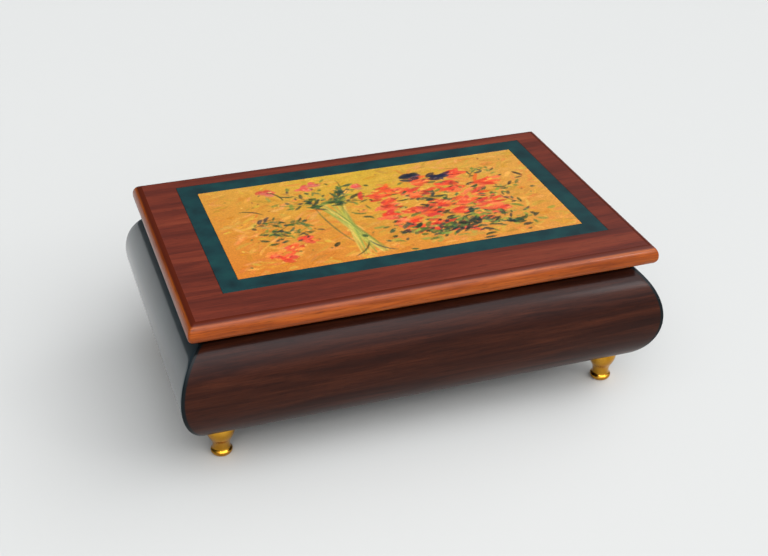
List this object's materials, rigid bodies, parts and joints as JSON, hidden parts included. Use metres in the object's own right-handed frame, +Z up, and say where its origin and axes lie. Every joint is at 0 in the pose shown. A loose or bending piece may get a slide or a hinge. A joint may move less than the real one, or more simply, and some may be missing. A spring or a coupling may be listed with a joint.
{
  "type": "cylinder music box",
  "caption": "Wooden box with bulging sides, a hinged flat lid, turned feet, a jewellery compartment and a spring-driven cylinder music movement wound from below.",
  "frame": {"origin": "on the floor under the middle of the case", "axes": "+X along the length to the right, +Y from the front to the hinged back, +Z up"},
  "size_m": [0.2008, 0.1286, 0.074],
  "materials": {
    "walnut_veneer": "satin lacquer over dark walnut veneer",
    "end_lacquer": "gloss lacquer, near-black with a teal cast",
    "raw_board": "plain stained board",
    "black_paint": "satin black paint",
    "lid_veneer": "gloss lacquer over red-brown veneer, orange-brown solid edge",
    "border_lacquer": "gloss lacquer over teal dyed veneer",
    "painted_panel": null,
    "polished_brass": "polished",
    "plated_steel": "bright plated",
    "bedplate_casting": "plated casting",
    "comb_steel": "ground steel",
    "spring_steel": "tempered strip and wire",
    "governor_nylon": "moulded",
    "clear_acrylic": "clear sheet, polished edges",
    "velvet": "short pile over foam or card",
    "felt": "pressed felt"
  },
  "bodies": {
    "case": {"front_panel": "walnut_veneer", "rear_panel": "walnut_veneer", "left_end_panel": "end_lacquer", "right_end_panel": "end_lacquer", "bottom_board": "raw_board", "cover_batten_front": "raw_board", "cover_batten_rear": "raw_board", "rim_frame": "black_paint", "foot_front_left": "polished_brass", "foot_front_right": "polished_brass", "foot_rear_left": "polished_brass", "foot_rear_right": "polished_brass", "hinge_left_case_leaf": "polished_brass", "hinge_right_case_leaf": "polished_brass", "key_bushing": "polished_brass", "hinge_left_pin": "plated_steel", "hinge_right_pin": "plated_steel", "governor_bracket": "plated_steel", "stop_guide": "plated_steel", "comb_screw_1": "plated_steel", "comb_screw_2": "plated_steel", "movement_screw_1": "plated_steel", "movement_screw_2": "plated_steel", "movement_screw_3": "plated_steel", "bearing_cap_left": "plated_steel", "bearing_cap_right": "plated_steel", "bedplate": "bedplate_casting", "comb": "comb_steel", "clutch_spring": "spring_steel", "stop_spring": "spring_steel", "movement_cover": "clear_acrylic", "partition_board": "velvet", "compartment_lining": "velvet", "roll_divider": "velvet", "ring_roll_1": "velvet", "ring_roll_2": "velvet", "ring_roll_3": "velvet", "ring_roll_4": "velvet", "well_pad": "velvet"},
    "lid": {"lid_board": "lid_veneer", "inlay_border": "border_lacquer", "picture_panel": "painted_panel", "lid_lining": "velvet", "hinge_left_lid_leaf": "polished_brass", "hinge_right_lid_leaf": "polished_brass"},
    "key": {"winding_key": "polished_brass", "winding_arbor": "plated_steel"},
    "cylinder_group": {"cylinder": "polished_brass", "cylinder_arbor": "plated_steel", "drive_pinion": "polished_brass", "great_wheel": "polished_brass"},
    "barrel_group": {"spring_barrel": "polished_brass", "barrel_cap": "polished_brass", "mainspring": "spring_steel"},
    "governor_group": {"governor_arbor": "plated_steel", "worm_wheel": "governor_nylon"},
    "fan_group": {"worm_shaft": "plated_steel", "fan": "governor_nylon"},
    "stop_group": {"stop_rod": "plated_steel", "brake_pad": "felt"}
  },
  "joints": [
    {"name": "lid_hinge", "type": "hinge", "parent": "case", "child": "lid", "pos_m": [0, 0.0545, 0.0648], "axis": [-1, 0, 0], "range_deg": [0, 95]},
    {"name": "key_turn", "type": "hinge", "parent": "case", "child": "key", "pos_m": [0.0347, 0, 0.0095], "axis": [0, 0, 1], "continuous": true},
    {"name": "cylinder_turn", "type": "hinge", "parent": "case", "child": "cylinder_group", "pos_m": [0.0589, 0, 0.03711], "axis": [1, 0, 0], "continuous": true},
    {"name": "barrel_turn", "type": "hinge", "parent": "case", "child": "barrel_group", "pos_m": [0.0347, 0, 0.0295], "axis": [0, 0, 1], "continuous": true},
    {"name": "governor_turn", "type": "hinge", "parent": "case", "child": "governor_group", "pos_m": [0.07397, 0.0098, 0.03511], "axis": [1, 0, 0], "continuous": true},
    {"name": "fan_turn", "type": "hinge", "parent": "case", "child": "fan_group", "pos_m": [0.07397, 0.0161, 0.0351], "axis": [0, 0, 1], "continuous": true},
    {"name": "stop_rod_slide", "type": "slide", "parent": "case", "child": "stop_group", "axis": [0, 0, 1], "range_m": [0, 0.004]}
  ],
  "couplings": [
    {"joint": "barrel_turn", "follows": "cylinder_turn", "ratio": 0.35294},
    {"joint": "governor_turn", "follows": "cylinder_turn", "ratio": -4},
    {"joint": "fan_turn", "follows": "cylinder_turn", "ratio": 120},
    {"joint": "stop_rod_slide", "follows": "lid_hinge", "m_per_rad": 0.0024122}
  ]
}
